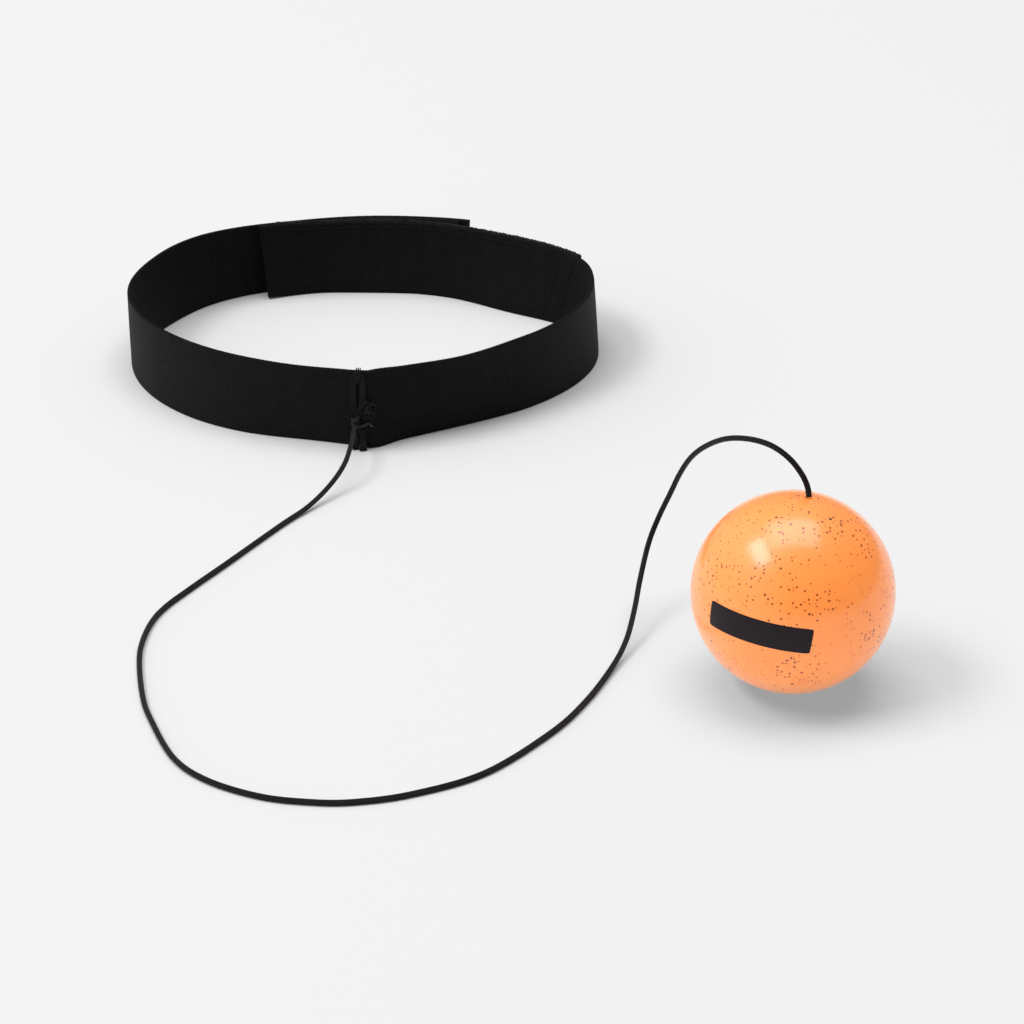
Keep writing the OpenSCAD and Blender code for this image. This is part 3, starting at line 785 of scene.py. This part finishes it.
# ---- Ball -----------------------------------------------------------------------------------
# A light hollow ball moulded in one piece in glossy, slightly clear orange rubber with dark
# specks. The cord goes in through one small hole with a rounded lip.
ball_radius = 0.0315
ball_wall = 0.004
hole_radius = 0.00115
ball_low, ball_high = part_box("ball")
ball_at = np.array([(ball_low.x + ball_high.x) / 2, (ball_low.y + ball_high.y) / 2, ball_radius])
hole_axis = unit(np.array(route[-1]) - ball_at)
hole_side = unit(np.cross((0, 1, 0), hole_axis))
hole_lift = np.cross(hole_axis, hole_side)


def turned(radius, height, sides):
    """A profile turned about the hole's axis:
    point = centre + height * axis + radius (cos q * side + sin q * lift)."""
    q = 2 * np.pi * np.arange(sides) / sides
    ring = np.cos(q)[:, None] * hole_side + np.sin(q)[:, None] * hole_lift
    return ball_at + height[:, None, None] * hole_axis + radius[:, None, None] * ring[None]


lip = 0.0005
inner_radius = ball_radius - ball_wall
edge_angle = math.asin((hole_radius + lip) / ball_radius)
outer_arc = np.linspace(-math.pi / 2 + 0.01, math.pi / 2 - edge_angle, 110)
bend = np.linspace(0, math.pi / 2, 6)[1:]
inner_arc = np.linspace(math.pi / 2 - math.asin(hole_radius / inner_radius), -math.pi / 2 + 0.01, 60)
lip_height = ball_radius * math.cos(edge_angle)
profile_radius = np.concatenate([ball_radius * np.cos(outer_arc), hole_radius + lip * (1 - np.sin(bend)),
                                 inner_radius * np.cos(inner_arc)])
profile_height = np.concatenate([ball_radius * np.sin(outer_arc), lip_height - lip * (1 - np.cos(bend)),
                                 inner_radius * np.sin(inner_arc)])
ball = piece("speckled_ball", turned(profile_radius, profile_height, 180),
             run_of(np.stack([profile_radius, profile_height], axis=1)), 2 * math.pi * ball_radius, crease=70)


def specks(tree, place, size, largest, share, crowd):
    """1 inside scattered specks, 0 outside: each cell of the given size has one with that share's chance,
    and its size goes up and down with the crowd."""
    cells = {"Vector": place, "Scale": 1 / size}
    distance = add(tree, "TexVoronoi", cells)
    chance = add(tree, "SeparateColor", [add(tree, "TexVoronoi", cells, out=1)])
    picked = add(tree, "MapRange", {0: chance, 1: 1 - share, 2: 1.0})
    radius = sums(tree, "MULTIPLY", sums(tree, "MULTIPLY", picked, 0.5 * largest / size), crowd)
    return add(tree, "MapRange", {0: sums(tree, "SUBTRACT", distance, radius), 1: 0.0, 2: -0.03})


# The rubber's emission, in its own speckled colour, is a painted glow that lifts its shaded side.
ball_finish, tree, shader = finish_of("speckled_orange_rubber", (1.0, 0.30, 0.07), 0.5, Coat_Weight=1.0,
                                      Coat_Roughness=0.2, Coat_IOR=1.55, Subsurface_Weight=0.3,
                                      Subsurface_Scale=0.004, Subsurface_Radius=(1.0, 0.35, 0.12), IOR=1.48,
                                      Specular_IOR_Level=0.5, Emission_Strength=0.42)
place = add(tree, "TexCoord", out=3)
cloud = noise_of(tree, place, 70.0, 2.0)
body = blend_of(tree, cloud, (1.0, 0.26, 0.04), (1.0, 0.31, 0.06))
crowd = noise_of(tree, place, 55.0, 1.0)
crowd = add(tree, "MapRange", {0: crowd, 1: 0.35, 2: 0.62, 3: 0.65, 4: 1.2})
small = specks(tree, place, size=0.0012, largest=0.00088, share=0.85, crowd=crowd)
large = specks(tree, place, size=0.0032, largest=0.0011, share=0.6, crowd=crowd)
rust = add(tree, "Mix", {0: small, 6: body, 7: (0.26, 0.06, 0.0, 1)}, out=2, data_type="RGBA")
speckled = add(tree, "Mix", {0: large, 6: rust, 7: (0.07, 0.012, 0.0, 1)}, out=2, data_type="RGBA")
tree.links.new(speckled, shader.inputs["Base Color"])
# The emission takes the speckled colour: painted glow.
tree.links.new(speckled, shader.inputs["Emission Color"])
ripple = noise_of(tree, place, 160.0, 2.0)
relief(tree, shader, ripple, 0.00006, 0.5)
ball.data.materials.append(ball_finish)
ball.visible_diffuse = False
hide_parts("ball")
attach(ball, "ball")

# ---- Printed bar ----------------------------------------------------------------------------
# A plain bar of glossy black ink, pad printed on the ball along a circle round the hole.
bar_thick = 0.00012
bar_length, bar_height = 0.0346, 0.0083
bar_middle = math.radians(-4.5)
bar_way = np.array([math.cos(math.radians(-116)), math.sin(math.radians(-116)), 0])
bar_turn = math.atan2(bar_way @ hole_lift, bar_way @ hole_side)


def bar_side(part):
    """Outline of the bar, a rectangle with small round corners: half length * x / n and half height * y / n,
    where x and y are the cosine and sine of the way round, and n = (|x|^24 + |y|^24)^(1/24)."""
    q = 2 * np.pi * part
    x, y = np.cos(q), np.sin(q)
    reach = (np.abs(x) ** 24 + np.abs(y) ** 24) ** (-1 / 24)
    return 0.5 * bar_length * x * reach, 0.5 * bar_height * y * reach


ring_part = np.arange(240) / 240
shrink = np.concatenate([[1, 1, 0.9995, 0.999], np.linspace(0.97, 0.03, 12)])
rise_out = np.array([-0.00004, 0.00005, 0.0001, 0.00012] + [bar_thick] * 12)
long_way, high_way = bar_side(ring_part)
bar_turns = bar_turn + shrink[:, None] * long_way[None] / ball_radius
bar_rises = bar_middle + shrink[:, None] * high_way[None] / ball_radius
out_way = (np.cos(bar_rises) * np.cos(bar_turns))[..., None] * hole_side \
    + (np.cos(bar_rises) * np.sin(bar_turns))[..., None] * hole_lift \
    + np.sin(bar_rises)[..., None] * hole_axis
bar_points = ball_at + (ball_radius + rise_out)[:, None, None] * out_way
bar = piece("printed_black_bar", bar_points, crease=60)
ink, tree, shader = finish_of("black_ink", (0.013, 0.008, 0.010), 0.36, Specular_IOR_Level=0.22)
mottle = noise_of(tree, add(tree, "TexCoord", out=3), 900.0, 3.0)
relief(tree, shader, mottle, 0.00002, 0.5)
shade_by(tree, shader, mottle, (0.009, 0.004, 0.006), (0.018, 0.010, 0.013))
bar.data.materials.append(ink)
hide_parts("printed_bar")
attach(bar, "ball")

# ---- Cord's end inside the ball -------------------------------------------------------------
# The cord goes through the ball's wall and a plastic washer, and ends in a tight knot that bears
# on the washer. A short cut end is left beyond the knot.
washer_radius, washer_thick = 0.0045, 0.0012
washer_high = math.sqrt((inner_radius - 0.0003) ** 2 - washer_radius ** 2)
stop_high = washer_high - washer_thick - 0.0017 - cord_radius


def below_hole(places, count):
    """A curve through places given in millimetres beside the hole's axis, in its two square directions, and
    in metres from the ball's centre along it."""
    line = curve_through(np.asarray(places, float) * (0.001, 0.001, 1), count=count)
    return ball_at + line[:, :1] * hole_side + line[:, 1:2] * hole_lift + line[:, 2:] * hole_axis


through = below_hole([(0, 0, 0.0305), (0, 0, 0.0285), (0, 0, 0.0265), (0, 0, stop_high)], 24)
stop_turn = np.radians(np.linspace(0, 720, 17))
turns = below_hole([(1.55 * math.cos(q), 1.55 * math.sin(q), stop_high + 0.0009 - 0.0018 * i / 16)
                    for i, q in enumerate(stop_turn)], 120)
tail = below_hole([(0, 0, stop_high), (0.1, 0, stop_high - 0.003), (0.5, 0.3, stop_high - 0.006),
                   (0.8, 0.2, stop_high - 0.0078)], 30)
for name, line, node in (("cord_through_wall", through, "inner_cord"),
                         ("stopper_knot_turns", turns, "stopper_knot"),
                         ("stopper_cut_end", tail, "stopper_tail")):
    part = cord_piece(name, line, across=(0.2, 0.9, 0.38))
    part.data.materials.append(cord_finish)
    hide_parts(node)
    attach(part, "cord_end")

q = np.linspace(0, 2 * np.pi, 24, endpoint=False)
rounded = np.sign(np.cos(q)) * np.abs(np.cos(q)) ** 0.35, np.sign(np.sin(q)) * np.abs(np.sin(q)) ** 0.5
bore = cord_radius + 0.00005
washer_points = turned(0.5 * (washer_radius + bore) + 0.5 * (washer_radius - bore) * rounded[0],
                       washer_high + 0.5 * washer_thick * (rounded[1] - 1), 96)
washer = piece("stopper_washer_disc", washer_points, ends="ring", crease=40)
plastic, tree, shader = finish_of("natural_white_plastic", (0.8, 0.8, 0.78), 0.4, Subsurface_Weight=0.15,
                                  Subsurface_Scale=0.001)
cloud = noise_of(tree, add(tree, "TexCoord", out=3), 400.0, 3.0)
shade_by(tree, shader, cloud, (0.72, 0.72, 0.69), (0.84, 0.84, 0.82))
relief(tree, shader, cloud, 0.00003, 0.4)
washer.data.materials.append(plastic)
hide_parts("stopper_washer")
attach(washer, "cord_end")

# ---- Floor and light ------------------------------------------------------------------------
# A plain pale floor under plain soft studio light: one large soft light high on the left, and pale
# walls that are brightest on the left and overhead at the back, and dim on the right and in front.
floor_mesh = bpy.data.meshes.new("floor")
floor_mesh.from_pydata([(-8, -8, 0), (8, -8, 0), (8, 8, 0), (-8, 8, 0)], [], [(0, 1, 2, 3)])
floor = bpy.data.objects.new("floor", floor_mesh)
floor.data.materials.append(finish_of("pale_floor", (0.80, 0.80, 0.80), 0.9, Specular_IOR_Level=0.1)[0])
bpy.context.scene.collection.objects.link(floor)

soft = bpy.data.lights.new("soft_light", "AREA")
soft.shape = "RECTANGLE"
soft.size = 1.7
soft.size_y = 3.4
soft.energy = 126
soft_light = bpy.data.objects.new("soft_light", soft)
light_rise = math.radians(54)
light_far = 6
soft_light.location = (-light_far * math.cos(light_rise), -0.8, light_far * math.sin(light_rise))
soft_light.rotation_euler = (0, light_rise - math.pi / 2, 0)
bpy.context.scene.collection.objects.link(soft_light)

overhead = bpy.data.lights.new("overhead_light", "AREA")
overhead.shape = "RECTANGLE"
overhead.size = 5
overhead.size_y = 4
overhead.energy = 190
overhead_light = bpy.data.objects.new("overhead_light", overhead)
overhead_light.location = (0, 0.8, 6)
bpy.context.scene.collection.objects.link(overhead_light)

world = bpy.data.worlds.new("studio")
world.use_nodes = True
tree = world.node_tree
way = add(tree, "TexCoord")
x, y, z = (add(tree, "SeparateXYZ", [way], out=i) for i in range(3))
left = add(tree, "MapRange", {0: x, 1: -0.15, 2: -0.85}, interpolation_type="SMOOTHSTEP")
behind = sums(tree, "ADD", sums(tree, "MULTIPLY", z, 0.8), sums(tree, "MULTIPLY", y, 0.5))
back = add(tree, "MapRange", {0: behind, 1: 0.3, 2: 0.95}, interpolation_type="SMOOTHSTEP")
above = add(tree, "MapRange", {0: z, 1: 0.1, 2: 0.8}, interpolation_type="SMOOTHSTEP")
strength = 0.1
for part, share in ((left, 0.6), (back, 0.22), (above, 0.14)):
    strength = sums(tree, "ADD", strength, sums(tree, "MULTIPLY", part, share))
tree.links.new(strength, tree.nodes["Background"].inputs["Strength"])
tree.nodes["Background"].inputs["Color"].default_value = (1, 1, 1, 1)
bpy.context.scene.world = world
bpy.context.scene.view_settings.view_transform = "Standard"
